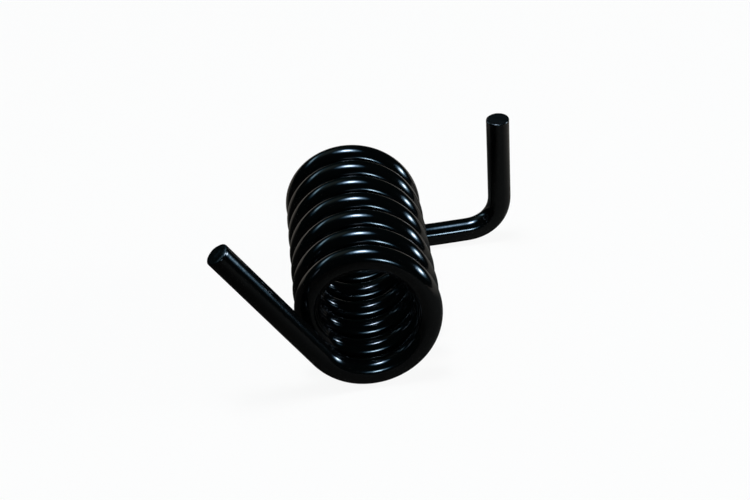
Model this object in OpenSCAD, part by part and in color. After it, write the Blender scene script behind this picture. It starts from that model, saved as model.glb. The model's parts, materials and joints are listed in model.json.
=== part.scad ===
// Torsion spring, wound and bent from one length of round wire.
// The coil axis lies along Y and the coil is left-handed. The near leg runs straight out of the
// front turn, square to the axis, and the far leg runs out along the floor to an upright end.
// It lies as it would rest, on the undersides of its turns and of the far leg.
// The origin is on the coil axis, halfway along the coil's full turns. Lengths are in millimetres.
//
// The wire is drawn as a wire bender makes it: each piece carries its children to its far end,
// where the next piece starts. At every joint Y is the way the wire heads and X points out of
// the coil, so a bend turns towards -X.

/* [Wire] */
// Diameter of the round wire, over its coating
wire_d = 6; // [4:0.5:7]
// Width of the chamfer round each cut end
end_chamfer = 0.5; // [0.2:0.1:1]

/* [Coil] */
// Clear diameter inside the coil
bore_d = 23; // [18:0.5:36]
// Distance along the axis from one turn to the next
pitch = 8.5; // [7.5:0.25:12]
// Full turns of the coil
turns = 7; // [2:1:8]

/* [Near leg] */
// Extra bend before the near leg leaves the coil, in degrees
lead_in = 46; // [15:1:75]
// Length of the straight near leg
near_length = 37.5; // [20:0.5:80]

/* [Far leg] */
// Straight run from the underside of the coil to the bend
far_length = 30.5; // [24:0.5:80]
// Radius of the bend, to the centre line of the wire
bend_r = 9.5; // [7.5:0.5:20]
// Length of the upright end above the bend
upright = 23; // [8:0.5:60]

/* [Hidden] */
$fn = 48;
wire_r = wire_d / 2;
coil_r = bore_d / 2 + wire_r;
// The coil is a chain of quarter bends, each tilted a little about the one before
quarter = 90;

// Angle round the axis that a bend covers when its plane is tilted to follow the coil
function wound(bend, tilt) = 2 * atan(tan(bend / 2) / cos(tilt));

// Tilt that gives a bend covering this angle round the axis its share of the pitch
function pitch_tilt(angle) = atan(pitch * angle / 720 / (coil_r * sin(angle / 2)));

quarter_tilt = pitch_tilt(wound(quarter, pitch_tilt(quarter)));
quarter_wound = wound(quarter, quarter_tilt);
// Angle between the wire and the plane square to the axis, at every joint
lead = asin(cos(quarter / 2) * sin(quarter_tilt));

// For a bend of any angle that starts and ends at the coil's lead
function coil_tilt(bend) = asin(sin(lead) / cos(bend / 2));
function coil_wound(bend) = wound(bend, coil_tilt(bend));
function coil_bend_r(bend) = coil_r * sin(coil_wound(bend) / 2) / (sin(bend / 2) * cos(coil_tilt(bend)));

// The angle of this cosine, rounded so that neighbouring pieces meet exactly
function twist(cosine) = acos(round(1e6 * cosine) / 1e6);
function coil_twist(bend) = twist(cos(coil_wound(bend) / 2) / cos(bend / 2));
// Twist into a bend that starts at the coil's lead and ends square to the axis
function square_twist(bend) = twist(cos(asin(tan(lead) / tan(bend))));

// The nearest angle whose cosine and sine are both whole millionths, within a thousandth of one
function neat(angle) =
    let (near = round(1e6 * cos(angle)))
    let (fits = [for (i = [0:4000], c = [near + i, near - i])
        let (s = sqrt(1e12 - c * c)) if (abs(s - round(s)) < 1e-3) c])
    acos(fits[0] / 1e6);

module straight(length) {
    rotate([-90, 0, 0])
        cylinder(h = length, r = wire_r);
    translate([0, length, 0])
        children();
}

module bent(radius, angle) {
    translate([-radius, 0, 0]) {
        rotate_extrude(angle = angle)
            translate([radius, 0])
                circle(wire_r);
        rotate([0, 0, angle])
            translate([radius, 0, 0])
                children();
    }
}

// A bend of less than a quarter turn, cut square where its children start
module short_bent(radius, angle) {
    room = radius + wire_d;
    translate([-radius, 0, 0]) {
        difference() {
            rotate_extrude(angle = quarter)
                translate([radius, 0])
                    circle(wire_r);
            rotate([0, 0, angle])
                translate([0, 0, -wire_d])
                    cube([room, room, 2 * wire_d]);
        }
        rotate([0, 0, angle])
            translate([radius, 0, 0])
                children();
    }
}

module cut_end() {
    rotate([-90, 0, 0])
        cylinder(h = end_chamfer, r1 = wire_r, r2 = wire_r - end_chamfer);
}

// Quarter bends of the coil, with half the twist between two bends at each end of each
module coil_bends(count) {
    if (count > 0)
        rotate([0, -coil_twist(quarter), 0])
            bent(coil_bend_r(quarter), quarter)
                rotate([0, -coil_twist(quarter), 0])
                    coil_bends(count - 1)
                        children();
    else
        children();
}

module near_leg() {
    bend = neat(lead_in);
    rotate([0, square_twist(bend), 0])
        short_bent(coil_bend_r(bend), bend)
            straight(near_length - end_chamfer)
                cut_end();
}

module far_leg() {
    straight(far_length)
        bent(bend_r, quarter)
            straight(upright - end_chamfer)
                cut_end();
}

module spring_wire() {
    half = 2 * turns;
    color([0.07, 0.075, 0.08])
        rotate([0, half * quarter_wound, 0])
            rotate([90, 90, 0])
                translate([coil_r, 0, 0])
                    rotate([-lead, 0, 0]) {
                        coil_bends(half)
                            far_leg();
                        rotate([180, 0, 0])
                            coil_bends(half)
                                near_leg();
                    }
}

spring_wire();
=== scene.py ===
import json
import math
import bpy
from mathutils import Matrix, Quaternion, Vector


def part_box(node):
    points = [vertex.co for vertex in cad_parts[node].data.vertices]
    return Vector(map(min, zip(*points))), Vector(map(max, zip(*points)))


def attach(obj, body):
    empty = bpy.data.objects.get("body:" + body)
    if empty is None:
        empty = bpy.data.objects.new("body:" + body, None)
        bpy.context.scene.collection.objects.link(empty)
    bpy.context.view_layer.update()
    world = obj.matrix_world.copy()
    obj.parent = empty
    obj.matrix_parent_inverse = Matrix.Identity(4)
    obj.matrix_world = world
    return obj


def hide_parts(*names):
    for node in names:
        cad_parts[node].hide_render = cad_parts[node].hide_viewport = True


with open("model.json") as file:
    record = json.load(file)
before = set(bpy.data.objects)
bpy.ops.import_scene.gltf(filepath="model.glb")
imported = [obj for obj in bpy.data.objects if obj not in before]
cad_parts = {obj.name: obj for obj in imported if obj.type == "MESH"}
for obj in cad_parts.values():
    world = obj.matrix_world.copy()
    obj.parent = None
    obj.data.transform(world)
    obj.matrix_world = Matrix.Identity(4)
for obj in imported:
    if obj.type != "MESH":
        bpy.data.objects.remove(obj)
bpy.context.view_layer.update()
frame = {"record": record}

# --- Coated wire ---------------------------------------------------------------------------
# The whole spring is one length of round hard-drawn steel wire, powder-coated black. It is coiled
# left-hand on a mandrel, its far end is bent up square, and both ends are sheared off. The wire is
# swept along its rule: near leg, coil, far leg, bend and upright end, each in its turn.

MM = 0.001
TURNS = 7
PITCH = 8.5 * MM
FAR_LEAD = math.radians(4.18)  # the far leg keeps the slant at which it leaves the coil
FAR_EASE = math.radians(20)  # the turn over which the coil's slant eases into the far leg's
END_CHAMFER = 0.5 * MM  # the straight ends reach this far past their plain walls
FAR_BOW = Vector((-0.1, -0.35, 0.5)) * MM  # the far leg isn't quite straight before its bend
FAR_BOW_START = 20 * MM
FAR_BOW_END = 36 * MM
BEND_POWER = 0.9  # 1 is a round bend, and less is tighter in the middle
COAT_SPARE = 0.05 * MM  # how much thicker than nominal the coated wire came out
EDGE_RADIUS = 0.35 * MM  # the coating rounds the sheared edges
DOME = 0.08 * MM  # how far the middle of a sheared face stands out
SHEAR_REACH = 3.5 * MM  # how far down the wire the shearing shows
NEAR_SPARE = 0.4 * MM  # how much longer than nominal the near end was cut
NEAR_DRAW = 0.65 * MM  # how much lower the cutter left one side of the face than the other
UPRIGHT_DRAW = 0.55 * MM
NEAR_CUT_TURN = math.radians(15)  # where round the wire the lower side lies
UPRIGHT_CUT_TURN = math.radians(200)
NEAR_DULLNESS = 0.2  # how far the coat loses its gloss on each sheared face
UPRIGHT_DULLNESS = 1.0
RAGGED_DEPTH = 0.25 * MM  # of the humps and hollows that the cutter left in a face
RAGGED_SIZE = 3 * MM
COAT_WAVE_DEPTH = 0.035 * MM  # how much the coating's thickness varies
COAT_WAVE_SIZE = 6 * MM
RING_SPACING = 0.6 * MM
FACE_CENTRE = 0.002  # share of a face's radius that its smallest ring has
FACE_RINGS = 14
EDGE_RINGS = 8
SIDES = 64

mounts = {mount["name"]: mount for mount in frame["record"]["mounts"]}
near_axis = Vector(mounts["near_leg"]["axis"]).normalized()
near_wall = mounts["near_leg"]["dims"]["length_mm"] * MM
near_joint = Vector(mounts["near_leg"]["pos_m"]) - near_axis * near_wall / 2
upright_wall = mounts["upright_end"]["dims"]["length_mm"] * MM
upright_foot = Vector(mounts["upright_end"]["pos_m"]) - Vector((0, 0, upright_wall / 2))
wire_radius = mounts["near_leg"]["dims"]["r_mm"] * MM
coil_radius = -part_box("spring_wire")[0].z - wire_radius
coil_angle = math.tau * TURNS + math.atan2(-near_joint.x, -near_joint.z)
far_heading = Vector((math.cos(FAR_LEAD), math.sin(FAR_LEAD), 0))
bend_radius = upright_foot.z + coil_radius
far_length = upright_foot.x / far_heading.x - bend_radius
far_joint_y = upright_foot.y - (far_length + bend_radius) * far_heading.y

# The coil climbs by its pitch at every turn, and more gently where it runs out into the legs
coil_slope = PITCH / math.tau
far_slope = coil_radius * math.tan(FAR_LEAD)
lost_climb = coil_angle * coil_slope - (far_joint_y - near_joint.y)
near_ease = (2 * lost_climb - FAR_EASE * (coil_slope - far_slope)) / coil_slope

stretches = {
    "Near Leg": near_wall + END_CHAMFER + NEAR_SPARE,
    "Coil Wire": math.hypot(coil_radius, coil_slope) * coil_angle,
    "Far Leg": far_length,
    "Bend Wire": bend_radius * math.pi / 2,
    "Upright End": upright_wall + END_CHAMFER,
}
wire_length = sum(stretches.values())
near_cut_side = Quaternion(near_axis, NEAR_CUT_TURN) @ Vector((0, -1, 0))
upright_cut_side = Vector((math.sin(UPRIGHT_CUT_TURN), math.cos(UPRIGHT_CUT_TURN), 0))
sizes = {
    **stretches,
    "Coil Radius": coil_radius,
    "Coil Angle": coil_angle,
    "Coil Slope": coil_slope,
    "Far Slope": far_slope,
    "Near Ease": near_ease,
    "Far Ease": FAR_EASE,
    "Near Joint Y": near_joint.y,
    "Near Axis": near_axis,
    "Far Heading": far_heading,
    "Far Bow": FAR_BOW,
    "Far Bow Start": FAR_BOW_START,
    "Far Bow End": FAR_BOW_END,
    "Bend Radius": bend_radius,
    "Bend Power": BEND_POWER,
    "Wire Radius": wire_radius + COAT_SPARE,
    "Edge Radius": EDGE_RADIUS,
    "Dome": DOME,
    "Near Cut Side": near_cut_side,
    "Near Cut Start": near_joint.dot(near_cut_side) - wire_radius,
    "Near Draw": NEAR_DRAW,
    "Upright Cut Side": upright_cut_side,
    "Upright Cut Start": (upright_foot + FAR_BOW).dot(upright_cut_side) - wire_radius,
    "Upright Draw": UPRIGHT_DRAW,
    "Near Dullness": NEAR_DULLNESS,
    "Upright Dullness": UPRIGHT_DULLNESS,
    "Wire Width": 2 * wire_radius,
    "Shear Reach": SHEAR_REACH,
    "Ragged Depth": RAGGED_DEPTH,
    "Ragged Size": RAGGED_SIZE,
    "Coat Wave Depth": COAT_WAVE_DEPTH,
    "Coat Wave Size": COAT_WAVE_SIZE,
    "Rings": round(wire_length / RING_SPACING) + 2 * (FACE_RINGS + EDGE_RINGS),
    "Face Rings": FACE_RINGS,
    "Edge Rings": EDGE_RINGS,
    "Sides": SIDES,
}


def add(tree, kind, settings, inputs):
    """Adds a node, sets its properties, and gives each input a value or a link."""
    node = tree.nodes.new(kind)
    for name, value in settings.items():
        setattr(node, name, value)
    for key, value in inputs.items():
        if isinstance(value, bpy.types.Node):
            value = value.outputs[0]
        if isinstance(value, bpy.types.NodeSocket):
            tree.links.new(value, node.inputs[key])
        else:
            node.inputs[key].default_value = value
    return node


wire_tree = bpy.data.node_groups.new("swept_wire", "GeometryNodeTree")
kinds = {float: "NodeSocketFloat", int: "NodeSocketInt", Vector: "NodeSocketVector"}
sockets = {}
for name, value in sizes.items():
    sockets[name] = wire_tree.interface.new_socket(name, socket_type=kinds[type(value)])
sockets["Coat"] = wire_tree.interface.new_socket("Coat", socket_type="NodeSocketMaterial")
wire_tree.interface.new_socket("Geometry", in_out="OUTPUT", socket_type="NodeSocketGeometry")
given = add(wire_tree, "NodeGroupInput", {}, {}).outputs
plus = {"operation": "ADD"}
minus = {"operation": "SUBTRACT"}
times = {"operation": "MULTIPLY"}
over = {"operation": "DIVIDE"}
scaled = {"operation": "SCALE"}

# Rings run in from each end: over the sheared face, round its edge, then evenly along the wire
line = add(wire_tree, "GeometryNodeMeshLine", {}, {"Count": given["Rings"]})
ring = add(wire_tree, "GeometryNodeInputIndex", {}, {})
last = add(wire_tree, "ShaderNodeMath", minus, {0: given["Rings"], 1: 1.0})
to_last = add(wire_tree, "ShaderNodeMath", minus, {0: last, 1: ring})
from_end = add(wire_tree, "ShaderNodeMath", {"operation": "MINIMUM"}, {0: ring, 1: to_last})
edge_end = add(wire_tree, "ShaderNodeMath", plus, {0: given["Face Rings"], 1: given["Edge Rings"]})
face = add(
    wire_tree,
    "ShaderNodeMapRange",
    {},
    {"Value": from_end, "From Max": given["Face Rings"], "To Min": FACE_CENTRE, "To Max": 1.0},
)
edge = add(
    wire_tree,
    "ShaderNodeMapRange",
    {},
    {"Value": from_end, "From Min": given["Face Rings"], "From Max": edge_end, "To Max": math.pi / 2},
)
edge_sine = add(wire_tree, "ShaderNodeMath", {"operation": "SINE"}, {0: edge})
edge_cosine = add(wire_tree, "ShaderNodeMath", {"operation": "COSINE"}, {0: edge})
face_radius = add(wire_tree, "ShaderNodeMath", minus, {0: given["Wire Radius"], 1: given["Edge Radius"]})
on_face = add(wire_tree, "ShaderNodeMath", times, {0: face, 1: face_radius})
on_edge = add(wire_tree, "ShaderNodeMath", times, {0: edge_sine, 1: given["Edge Radius"]})
radius = add(wire_tree, "ShaderNodeMath", plus, {0: on_face, 1: on_edge})

wire_ends = [0.0]
for name in stretches:
    wire_ends.append(add(wire_tree, "ShaderNodeMath", plus, {0: wire_ends[-1], 1: given[name]}))
length = wire_ends[-1]
cap = add(wire_tree, "ShaderNodeMath", plus, {0: given["Dome"], 1: given["Edge Radius"]})
both_caps = add(wire_tree, "ShaderNodeMath", times, {0: cap, 1: 2.0})
both_edges = add(wire_tree, "ShaderNodeMath", times, {0: edge_end, 1: 2.0})
even_length = add(wire_tree, "ShaderNodeMath", minus, {0: length, 1: both_caps})
even_steps = add(wire_tree, "ShaderNodeMath", minus, {0: last, 1: both_edges})
step = add(wire_tree, "ShaderNodeMath", over, {0: even_length, 1: even_steps})
past_edge = add(wire_tree, "ShaderNodeMath", minus, {0: from_end, 1: edge_end})
past_edge = add(wire_tree, "ShaderNodeMath", {"operation": "MAXIMUM"}, {0: past_edge, 1: 0.0})
dome_depth = add(wire_tree, "ShaderNodeMath", times, {0: face, 1: face})
dome_depth = add(wire_tree, "ShaderNodeMath", times, {0: dome_depth, 1: given["Dome"]})
edge_depth = add(wire_tree, "ShaderNodeMath", minus, {0: 1.0, 1: edge_cosine})
edge_depth = add(wire_tree, "ShaderNodeMath", times, {0: edge_depth, 1: given["Edge Radius"]})
depth = add(wire_tree, "ShaderNodeMath", times, {0: past_edge, 1: step})
depth = add(wire_tree, "ShaderNodeMath", plus, {0: depth, 1: dome_depth})
depth = add(wire_tree, "ShaderNodeMath", plus, {0: depth, 1: edge_depth})
from_far = add(wire_tree, "ShaderNodeMath", minus, {0: length, 1: depth})
in_near_half = add(wire_tree, "ShaderNodeMath", {"operation": "LESS_THAN"}, {0: ring, 1: to_last})
along = add(wire_tree, "ShaderNodeMix", {}, {"Factor": in_near_half, "A": from_far, "B": depth})

# Each stretch adds its own run once the wire reaches it
runs = []
for start, end, run in zip(
    wire_ends,
    wire_ends[1:],
    (given["Near Leg"], given["Coil Angle"], given["Far Leg"], math.pi / 2, given["Upright End"]),
):
    runs.append(
        add(
            wire_tree,
            "ShaderNodeMapRange",
            {},
            {"Value": along, "From Min": start, "From Max": end, "To Max": run},
        )
    )
near_run, turned, far_run, bent, upright_run = runs

# Climb along the coil's axis: the full slope, less what each eased end holds back
steeper = add(wire_tree, "ShaderNodeMath", minus, {0: given["Coil Slope"], 1: given["Far Slope"]})
far_start = add(wire_tree, "ShaderNodeMath", minus, {0: given["Coil Angle"], 1: given["Far Ease"]})
eased_in = add(wire_tree, "ShaderNodeMath", {"operation": "MINIMUM"}, {0: turned, 1: given["Near Ease"]})
eased_out = add(wire_tree, "ShaderNodeMath", minus, {0: turned, 1: far_start})
eased_out = add(wire_tree, "ShaderNodeMath", {"operation": "MAXIMUM"}, {0: eased_out, 1: 0.0})
climb = add(wire_tree, "ShaderNodeMath", times, {0: turned, 1: given["Coil Slope"]})
climb = add(wire_tree, "ShaderNodeMath", plus, {0: climb, 1: given["Near Joint Y"]})
in_share = add(wire_tree, "ShaderNodeMath", over, {0: eased_in, 1: given["Near Ease"]})
in_share = add(wire_tree, "ShaderNodeMath", times, {0: in_share, 1: -0.5})
in_share = add(wire_tree, "ShaderNodeMath", plus, {0: in_share, 1: 1.0})
held_in = add(wire_tree, "ShaderNodeMath", times, {0: eased_in, 1: in_share})
held_in = add(wire_tree, "ShaderNodeMath", times, {0: held_in, 1: given["Coil Slope"]})
out_share = add(wire_tree, "ShaderNodeMath", over, {0: eased_out, 1: given["Far Ease"]})
out_share = add(wire_tree, "ShaderNodeMath", times, {0: out_share, 1: 0.5})
held_out = add(wire_tree, "ShaderNodeMath", times, {0: eased_out, 1: out_share})
held_out = add(wire_tree, "ShaderNodeMath", times, {0: held_out, 1: steeper})
climb = add(wire_tree, "ShaderNodeMath", minus, {0: climb, 1: held_in})
climb = add(wire_tree, "ShaderNodeMath", minus, {0: climb, 1: held_out})

# The coil is turned about its own axis, so that it ends under it, where the far leg runs out
still_to_turn = add(wire_tree, "ShaderNodeMath", minus, {0: turned, 1: given["Coil Angle"]})
turn_sine = add(wire_tree, "ShaderNodeMath", {"operation": "SINE"}, {0: still_to_turn})
turn_cosine = add(wire_tree, "ShaderNodeMath", {"operation": "COSINE"}, {0: still_to_turn})
coil_x = add(wire_tree, "ShaderNodeMath", times, {0: turn_sine, 1: given["Coil Radius"]})
coil_z = add(wire_tree, "ShaderNodeMath", times, {0: turn_cosine, 1: given["Coil Radius"]})
coil_z = add(wire_tree, "ShaderNodeMath", times, {0: coil_z, 1: -1.0})
on_coil = add(wire_tree, "ShaderNodeCombineXYZ", {}, {"X": coil_x, "Y": climb, "Z": coil_z})
left_of_leg = add(wire_tree, "ShaderNodeMath", minus, {0: given["Near Leg"], 1: near_run})
on_near = add(wire_tree, "ShaderNodeVectorMath", scaled, {0: given["Near Axis"], "Scale": left_of_leg})
bend_sine = add(wire_tree, "ShaderNodeMath", {"operation": "SINE"}, {0: bent})
bend_cosine = add(wire_tree, "ShaderNodeMath", {"operation": "COSINE"}, {0: bent})
power = {"operation": "POWER"}
bend_sine = add(wire_tree, "ShaderNodeMath", power, {0: bend_sine, 1: given["Bend Power"]})
bend_cosine = add(wire_tree, "ShaderNodeMath", power, {0: bend_cosine, 1: given["Bend Power"]})
bend_out = add(wire_tree, "ShaderNodeMath", times, {0: bend_sine, 1: given["Bend Radius"]})
far_out = add(wire_tree, "ShaderNodeMath", plus, {0: far_run, 1: bend_out})
on_far = add(wire_tree, "ShaderNodeVectorMath", scaled, {0: given["Far Heading"], "Scale": far_out})
bend_up = add(wire_tree, "ShaderNodeMath", minus, {0: 1.0, 1: bend_cosine})
bend_up = add(wire_tree, "ShaderNodeMath", times, {0: bend_up, 1: given["Bend Radius"]})
up_run = add(wire_tree, "ShaderNodeMath", plus, {0: bend_up, 1: upright_run})
on_upright = add(wire_tree, "ShaderNodeCombineXYZ", {}, {"Z": up_run})
bow_start = add(wire_tree, "ShaderNodeMath", plus, {0: wire_ends[2], 1: given["Far Bow Start"]})
bow_end = add(wire_tree, "ShaderNodeMath", plus, {0: wire_ends[2], 1: given["Far Bow End"]})
bowed = add(
    wire_tree,
    "ShaderNodeMapRange",
    {"interpolation_type": "SMOOTHSTEP"},
    {"Value": along, "From Min": bow_start, "From Max": bow_end},
)
bow = add(wire_tree, "ShaderNodeVectorMath", scaled, {0: given["Far Bow"], "Scale": bowed})
place = on_coil
for run in (on_near, on_far, on_upright, bow):
    place = add(wire_tree, "ShaderNodeVectorMath", plus, {0: place, 1: run})

placed = add(wire_tree, "GeometryNodeSetPosition", {}, {"Geometry": line, "Position": place})
curve = add(wire_tree, "GeometryNodeMeshToCurve", {}, {"Mesh": placed})
measured = add(
    wire_tree,
    "GeometryNodeStoreNamedAttribute",
    {"data_type": "FLOAT", "domain": "POINT"},
    {"Geometry": curve, "Name": "along_wire", "Value": along.outputs[0]},
)
dullest = add(
    wire_tree,
    "ShaderNodeMix",
    {},
    {"Factor": in_near_half, "A": given["Upright Dullness"], "B": given["Near Dullness"]},
)
dullness = add(
    wire_tree,
    "ShaderNodeMapRange",
    {},
    {
        "Value": from_end,
        "From Min": given["Face Rings"],
        "From Max": edge_end,
        "To Min": dullest,
        "To Max": 0.0,
    },
)
measured = add(
    wire_tree,
    "GeometryNodeStoreNamedAttribute",
    {"data_type": "FLOAT", "domain": "POINT"},
    {"Geometry": measured, "Name": "dullness", "Value": dullness.outputs[0]},
)
circle = add(
    wire_tree,
    "GeometryNodeCurvePrimitiveCircle",
    {},
    {"Resolution": given["Sides"], "Radius": 1.0},
)
swept = add(
    wire_tree,
    "GeometryNodeCurveToMesh",
    {},
    {"Curve": measured, "Profile Curve": circle, "Scale": radius, "Fill Caps": True},
)

# The cutter leaves each face lower on one side, with shallow humps and hollows in it
spot = add(wire_tree, "GeometryNodeInputPosition", {}, {})
from_near_end = add(
    wire_tree, "GeometryNodeInputNamedAttribute", {"data_type": "FLOAT"}, {"Name": "along_wire"}
)
from_upright_end = add(wire_tree, "ShaderNodeMath", minus, {0: length, 1: from_near_end})
ragged_scale = add(wire_tree, "ShaderNodeMath", over, {0: 1.0, 1: given["Ragged Size"]})
ragged = add(wire_tree, "ShaderNodeTexNoise", {}, {"Vector": spot, "Scale": ragged_scale, "Detail": 1.0})
ragged = add(wire_tree, "ShaderNodeMath", minus, {0: ragged, 1: 0.5})
ragged = add(wire_tree, "ShaderNodeMath", times, {0: ragged, 1: given["Ragged Depth"]})
up = add(wire_tree, "ShaderNodeCombineXYZ", {}, {"Z": 1.0})
shifts = []
for end_name, way_out, distance in (
    ("Near", given["Near Axis"], from_near_end),
    ("Upright", up, from_upright_end),
):
    across = add(
        wire_tree,
        "ShaderNodeVectorMath",
        {"operation": "DOT_PRODUCT"},
        {0: spot, 1: given[end_name + " Cut Side"]},
    ).outputs["Value"]
    cut_start = given[end_name + " Cut Start"]
    cut_edge = add(wire_tree, "ShaderNodeMath", plus, {0: cut_start, 1: given["Wire Width"]})
    drawn = add(
        wire_tree,
        "ShaderNodeMapRange",
        {},
        {"Value": across, "From Min": cut_start, "From Max": cut_edge, "To Max": given[end_name + " Draw"]},
    )
    drawn = add(wire_tree, "ShaderNodeMath", plus, {0: drawn, 1: ragged})
    fading = add(
        wire_tree,
        "ShaderNodeMapRange",
        {"interpolation_type": "SMOOTHSTEP"},
        {"Value": distance, "From Max": given["Shear Reach"], "To Min": -1.0, "To Max": 0.0},
    )
    drawn = add(wire_tree, "ShaderNodeMath", times, {0: drawn, 1: fading})
    shifts.append(add(wire_tree, "ShaderNodeVectorMath", scaled, {0: way_out, "Scale": drawn}))

# The coating is thicker in some places than in others
wave_scale = add(wire_tree, "ShaderNodeMath", over, {0: 1.0, 1: given["Coat Wave Size"]})
wave = add(wire_tree, "ShaderNodeTexNoise", {}, {"Vector": spot, "Scale": wave_scale, "Detail": 1.0})
wave = add(wire_tree, "ShaderNodeMath", minus, {0: wave, 1: 0.5})
wave = add(wire_tree, "ShaderNodeMath", times, {0: wave, 1: given["Coat Wave Depth"]})
outwards = add(wire_tree, "GeometryNodeInputNormal", {}, {})
shift = add(wire_tree, "ShaderNodeVectorMath", scaled, {0: outwards, "Scale": wave})
for end_shift in shifts:
    shift = add(wire_tree, "ShaderNodeVectorMath", plus, {0: shift, 1: end_shift})
shaped = add(wire_tree, "GeometryNodeSetPosition", {}, {"Geometry": swept, "Offset": shift})
smooth = add(wire_tree, "GeometryNodeSetShadeSmooth", {}, {"Geometry": shaped})
real = add(wire_tree, "GeometryNodeRealizeInstances", {}, {"Geometry": smooth})
coated = add(wire_tree, "GeometryNodeSetMaterial", {}, {"Geometry": real, "Material": given["Coat"]})
add(wire_tree, "NodeGroupOutput", {}, {"Geometry": coated})


def linear(hex_colour):
    """An sRGB hex colour as linear RGBA."""
    channels = [int(hex_colour[i : i + 2], 16) / 255 for i in (1, 3, 5)]
    return [c / 12.92 if c <= 0.04045 else ((c + 0.055) / 1.055) ** 2.4 for c in channels] + [1.0]


# Glossy black powder coat, baked on: near black, with each lamp mirrored in it as a crisp bluish
# streak whose edge wanders with the orange peel, a fine grain in the gloss, and a few dust nibs.
PEEL_SIZE = 1.1 * MM
PEEL_DEPTH = 0.009 * MM
GRAIN_SIZE = 0.3 * MM  # the real grain is about a tenth of this, which wouldn't show
GRAIN_DEPTH = 0.0008 * MM
NIB_SPACING = 3.2 * MM
NIB_RADIUS = 0.16 * MM
NIB_HEIGHT = 0.012 * MM
SMOOTH_ROUGHNESS = 0.07  # between the grains
GRAINY_ROUGHNESS = 0.13
SHEARED_ROUGHNESS = 0.3  # where the coat lies thinner and duller on a sheared face
COAT_DARKEST = linear("#020202")
COAT_LIGHTEST = linear("#040404")

coat = bpy.data.materials.new("glossy_black_powder_coat")
coat.use_nodes = True
coat_tree = coat.node_tree
coat_shader = coat_tree.nodes["Principled BSDF"]
coat_shader.inputs["Metallic"].default_value = 0.0
coat_shader.inputs["IOR"].default_value = 1.5
where = add(coat_tree, "ShaderNodeTexCoord", {}, {}).outputs["Object"]
peel = add(coat_tree, "ShaderNodeTexNoise", {}, {"Vector": where, "Scale": 1 / PEEL_SIZE, "Detail": 1.0})
grain = add(coat_tree, "ShaderNodeTexNoise", {}, {"Vector": where, "Scale": 1 / GRAIN_SIZE, "Detail": 2.0})
nibs = add(coat_tree, "ShaderNodeTexVoronoi", {}, {"Vector": where, "Scale": 1 / NIB_SPACING})
nib = add(
    coat_tree,
    "ShaderNodeMapRange",
    {"interpolation_type": "SMOOTHSTEP"},
    {"Value": nibs.outputs["Distance"], "From Max": NIB_RADIUS / NIB_SPACING, "To Min": 1.0, "To Max": 0.0},
)
peel_bump = add(coat_tree, "ShaderNodeBump", {}, {"Height": peel, "Distance": PEEL_DEPTH})
grain_bump = add(
    coat_tree, "ShaderNodeBump", {}, {"Height": grain, "Distance": GRAIN_DEPTH, "Normal": peel_bump}
)
nib_bump = add(
    coat_tree, "ShaderNodeBump", {}, {"Height": nib, "Distance": NIB_HEIGHT, "Normal": grain_bump}
)
patches = add(coat_tree, "ShaderNodeTexNoise", {}, {"Vector": where, "Scale": 1 / COAT_WAVE_SIZE})
shade = add(
    coat_tree,
    "ShaderNodeMix",
    {"data_type": "RGBA"},
    {0: patches, 6: COAT_DARKEST, 7: COAT_LIGHTEST},
).outputs[2]
gloss = add(
    coat_tree,
    "ShaderNodeMapRange",
    {},
    {"Value": grain, "To Min": SMOOTH_ROUGHNESS, "To Max": GRAINY_ROUGHNESS},
)
dull = add(coat_tree, "ShaderNodeAttribute", {"attribute_name": "dullness"}, {}).outputs["Fac"]
gloss = add(coat_tree, "ShaderNodeMix", {}, {"Factor": dull, "A": gloss, "B": SHEARED_ROUGHNESS})
coat_tree.links.new(shade, coat_shader.inputs["Base Color"])
coat_tree.links.new(gloss.outputs[0], coat_shader.inputs["Roughness"])
coat_tree.links.new(nib_bump.outputs[0], coat_shader.inputs["Normal"])

coated_wire = bpy.data.objects.new("coated_wire", bpy.data.meshes.new("wire_start"))
bpy.context.scene.collection.objects.link(coated_wire)
sweep = coated_wire.modifiers.new("sweep", "NODES")
sweep.node_group = wire_tree
for name, value in sizes.items():
    sweep[sockets[name].identifier] = value
sweep[sockets["Coat"].identifier] = coat
evaluated = coated_wire.evaluated_get(bpy.context.evaluated_depsgraph_get())
swept_mesh = bpy.data.meshes.new_from_object(evaluated)
coated_wire.modifiers.remove(sweep)
coated_wire.data = swept_mesh
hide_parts("spring_wire")
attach(coated_wire, "root")

# --- Floor and backdrop --------------------------------------------------------------------
# A plain pale floor that the spring lies on, under a white world. Light Path makes both white to
# the eye, and a little of the lit floor stays in, so that it keeps the spring's shadow. The coat
# mirrors both dimly, most at the right and towards the back, and so it stays black.

WHITE = (1.0, 1.0, 1.0, 1.0)
FLOOR_SIZE = 12.0
FLOOR_PAINT = linear("#fde5cd")
FLOOR_ROUGHNESS = 0.9
FLOOR_WHITE = 0.92  # share of the floor that is plain white to the eye
LIT_ON_LEFT = 0.01  # share of the lit floor that the coat mirrors, left of the spring and right of it
LIT_ON_RIGHT = 0.12
LIT_REACH = 45 * MM
GLOW_LEAST = 0.014  # share of plain white that the coat mirrors from the whole floor
GLOW = 0.35  # what it rises to at the right, at this heading clockwise from +Y seen from above
GLOW_WARMTH = linear("#fff6e9")
GLOW_HEADING = math.radians(48)
GLOW_FROM = 48 * MM
GLOW_TO = 130 * MM
BACK_GLOW = 0.25  # and another at the back left, full near this heading and gone past its spread
BACK_HEADING = math.radians(-36)
BACK_MIDDLE = math.radians(6)
BACK_SPREAD = math.radians(27)
SKY_IN_GLOSS = 0.004  # share of white that the coat mirrors from between the lamps
SKY = (0.0, 0.005, 0.004, 1.0)

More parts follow.
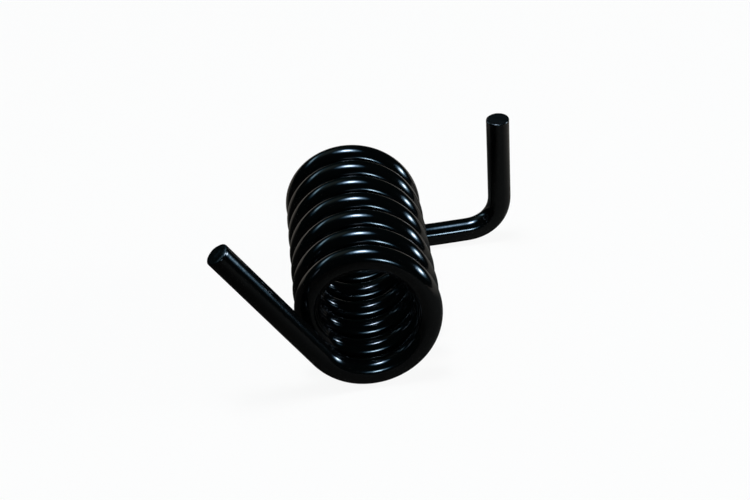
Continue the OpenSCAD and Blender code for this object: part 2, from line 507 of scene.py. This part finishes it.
floor_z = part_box("spring_wire")[0].z
half = FLOOR_SIZE / 2
floor_mesh = bpy.data.meshes.new("floor")
floor_corners = [(x, y, floor_z) for x, y in ((-half, -half), (half, -half), (half, half), (-half, half))]
floor_mesh.from_pydata(floor_corners, [], [(0, 1, 2, 3)])
floor = bpy.data.objects.new("floor", floor_mesh)
bpy.context.scene.collection.objects.link(floor)
paint = bpy.data.materials.new("pale_matt_paint")
paint.use_nodes = True
floor_mesh.materials.append(paint)
paint_tree = paint.node_tree
paint_shader = paint_tree.nodes["Principled BSDF"]
paint_shader.inputs["Base Color"].default_value = FLOOR_PAINT
paint_shader.inputs["Roughness"].default_value = FLOOR_ROUGHNESS
ray = add(paint_tree, "ShaderNodeLightPath", {}, {}).outputs
seen = add(paint_tree, "ShaderNodeMath", plus, {0: ray["Is Camera Ray"], 1: ray["Is Transmission Ray"]})
seen = add(paint_tree, "ShaderNodeMath", times, {0: seen, 1: FLOOR_WHITE})
floor_spot = add(paint_tree, "ShaderNodeTexCoord", {}, {}).outputs["Object"]
sideways = add(paint_tree, "ShaderNodeSeparateXYZ", {}, {0: floor_spot})
unlit = add(
    paint_tree,
    "ShaderNodeMapRange",
    {},
    {
        "Value": sideways,
        "From Min": -LIT_REACH,
        "From Max": LIT_REACH,
        "To Min": 1 - LIT_ON_LEFT,
        "To Max": 1 - LIT_ON_RIGHT,
    },
)
mirrored = add(paint_tree, "ShaderNodeMath", times, {0: ray["Is Glossy Ray"], 1: unlit})
seen = add(paint_tree, "ShaderNodeMath", plus, {0: seen, 1: mirrored})
right_heading = Vector((math.sin(GLOW_HEADING), math.cos(GLOW_HEADING), 0))
rightwards = add(
    paint_tree, "ShaderNodeVectorMath", {"operation": "DOT_PRODUCT"}, {0: floor_spot, 1: right_heading}
).outputs["Value"]
glow = add(
    paint_tree,
    "ShaderNodeMapRange",
    {},
    {
        "Value": rightwards,
        "From Min": GLOW_FROM,
        "From Max": GLOW_TO,
        "To Min": GLOW_LEAST,
        "To Max": GLOW,
    },
)
back_heading = Vector((math.sin(BACK_HEADING), math.cos(BACK_HEADING), 0))
from_middle = add(paint_tree, "ShaderNodeVectorMath", {"operation": "NORMALIZE"}, {0: floor_spot})
backwards = add(
    paint_tree, "ShaderNodeVectorMath", {"operation": "DOT_PRODUCT"}, {0: from_middle, 1: back_heading}
).outputs["Value"]
back_glow = add(
    paint_tree,
    "ShaderNodeMapRange",
    {},
    {
        "Value": backwards,
        "From Min": math.cos(BACK_SPREAD),
        "From Max": math.cos(BACK_MIDDLE),
        "To Max": BACK_GLOW,
    },
)
glow = add(paint_tree, "ShaderNodeMath", plus, {0: glow, 1: back_glow})
white = add(paint_tree, "ShaderNodeMix", {}, {"Factor": ray["Is Glossy Ray"], "A": 1.0, "B": glow})
tone = add(
    paint_tree,
    "ShaderNodeMix",
    {"data_type": "RGBA"},
    {0: ray["Is Glossy Ray"], 6: WHITE, 7: GLOW_WARMTH},
)
plain_white = add(paint_tree, "ShaderNodeEmission", {}, {"Color": tone.outputs[2], "Strength": white})
lit_floor = add(paint_tree, "ShaderNodeMixShader", {}, {0: seen, 1: paint_shader, 2: plain_white})
paint_tree.links.new(lit_floor.outputs[0], paint_tree.nodes["Material Output"].inputs["Surface"])

world = bpy.data.worlds.new("studio")
bpy.context.scene.world = world
world.use_nodes = True
sky_tree = world.node_tree
ray = add(sky_tree, "ShaderNodeLightPath", {}, {}).outputs
seen = add(sky_tree, "ShaderNodeMath", plus, {0: ray["Is Camera Ray"], 1: ray["Is Transmission Ray"]})
mirrored = add(sky_tree, "ShaderNodeMath", times, {0: ray["Is Glossy Ray"], 1: SKY_IN_GLOSS})
seen = add(sky_tree, "ShaderNodeMath", plus, {0: seen, 1: mirrored})
sky = add(sky_tree, "ShaderNodeMix", {"data_type": "RGBA"}, {0: seen, 6: SKY, 7: WHITE})
sky_tree.links.new(sky.outputs[2], sky_tree.nodes["Background"].inputs["Color"])

# --- Studio lamps --------------------------------------------------------------------------
# Soft round lamps, each a metre from the spring: one overhead, one low at the right, a dim one at
# the back left with a faint glow above it, and a small one behind the camera. Each is brightest in
# the middle, and dies away and turns bluer towards its edge, as light through a diffuser does.

LAMP_MIDDLE = 0.22  # share of a lamp's radius that is evenly bright
LAMP_FADE = 4.6  # how many times the light falls by e from there to the edge
LAMP_EDGE_TINT = (0.3, 0.74, 1.0, 1.0)  # the edge is bluer than the middle


def lamp(name, azimuth, elevation, width, height, radiance, colour):
    """An area lamp a metre away, aimed at the origin; azimuth is clockwise from +Y seen from above."""
    light = bpy.data.lights.new(name, "AREA")
    light.shape = "ELLIPSE"
    light.size = width
    light.size_y = height
    light.energy = radiance * math.pi * (math.pi / 4 * width * height)
    light.color = colour
    light.use_nodes = True
    across = add(light.node_tree, "ShaderNodeNewGeometry", {}, {}).outputs["Parametric"]
    off_middle = add(
        light.node_tree, "ShaderNodeVectorMath", {"operation": "DISTANCE"}, {0: across, 1: (0.5, 0.5, 0)}
    )
    outer = add(
        light.node_tree,
        "ShaderNodeMapRange",
        {},
        {"Value": off_middle.outputs["Value"], "From Min": LAMP_MIDDLE / 2, "From Max": 0.5},
    )
    fade = add(light.node_tree, "ShaderNodeMath", times, {0: outer, 1: -LAMP_FADE})
    fade = add(light.node_tree, "ShaderNodeMath", {"operation": "EXPONENT"}, {0: fade})
    tint = add(
        light.node_tree,
        "ShaderNodeMix",
        {"data_type": "RGBA"},
        {0: outer, 6: WHITE, 7: LAMP_EDGE_TINT},
    )
    emission = light.node_tree.nodes["Emission"]
    light.node_tree.links.new(tint.outputs[2], emission.inputs["Color"])
    light.node_tree.links.new(fade.outputs[0], emission.inputs["Strength"])
    holder = bpy.data.objects.new(name, light)
    bpy.context.scene.collection.objects.link(holder)
    level = math.cos(math.radians(elevation))
    away = Vector(
        (
            level * math.sin(math.radians(azimuth)),
            level * math.cos(math.radians(azimuth)),
            math.sin(math.radians(elevation)),
        )
    )
    holder.location = away
    holder.rotation_euler = away.to_track_quat("Z", "Y").to_euler()
    holder.visible_camera = False


# Each lamp's azimuth and elevation in degrees, width and height in metres, radiance, and colour
lamp("overhead", -62, 84.6, 0.62, 0.71, 52, (0.66, 0.81, 1.0))
lamp("right", 93, 20.2, 0.84, 0.34, 41, (0.71, 0.85, 1.0))
lamp("left", -55.5, 33.3, 1.15, 0.36, 4.4, (0.52, 0.81, 1.0))
lamp("left_glow", -42, 50, 1.8, 1.4, 0.2, (0.75, 1.0, 0.95))
lamp("behind", 171.5, 21.5, 0.46, 0.25, 41, (0.60, 0.82, 1.0))

# --- Camera --------------------------------------------------------------------------------
# The camera looks down on the spring from its near end, a little from the left, and leans slightly.
# Its azimuth runs from -Y towards +X.

CAMERA_AZIMUTH = math.radians(-2.80)
CAMERA_ELEVATION = math.radians(31.02)
CAMERA_LEAN = math.radians(-3.86)
CAMERA_DISTANCE = 415.4 * MM
CAMERA_TARGET = Vector((3.79, 0, 1.15)) * MM
CAMERA_LENS = 79.78  # in millimetres, as Blender takes it
CAMERA_SENSOR = 36

level = math.cos(CAMERA_ELEVATION)
look = Vector(
    (
        -level * math.sin(CAMERA_AZIMUTH),
        level * math.cos(CAMERA_AZIMUTH),
        -math.sin(CAMERA_ELEVATION),
    )
)
level_right = look.cross(Vector((0, 0, 1))).normalized()
camera_right = Quaternion(look, -CAMERA_LEAN) @ level_right
camera_up = camera_right.cross(look)
lens = bpy.data.cameras.new("camera")
lens.lens = CAMERA_LENS
lens.sensor_width = CAMERA_SENSOR
lens.clip_start = 0.01
camera = bpy.data.objects.new("camera", lens)
bpy.context.scene.collection.objects.link(camera)
aim = Matrix((camera_right, camera_up, -look)).transposed()
camera.location = CAMERA_TARGET - look * CAMERA_DISTANCE
camera.rotation_euler = aim.to_euler()
bpy.context.scene.camera = camera
bpy.context.scene.view_settings.view_transform = "Standard"
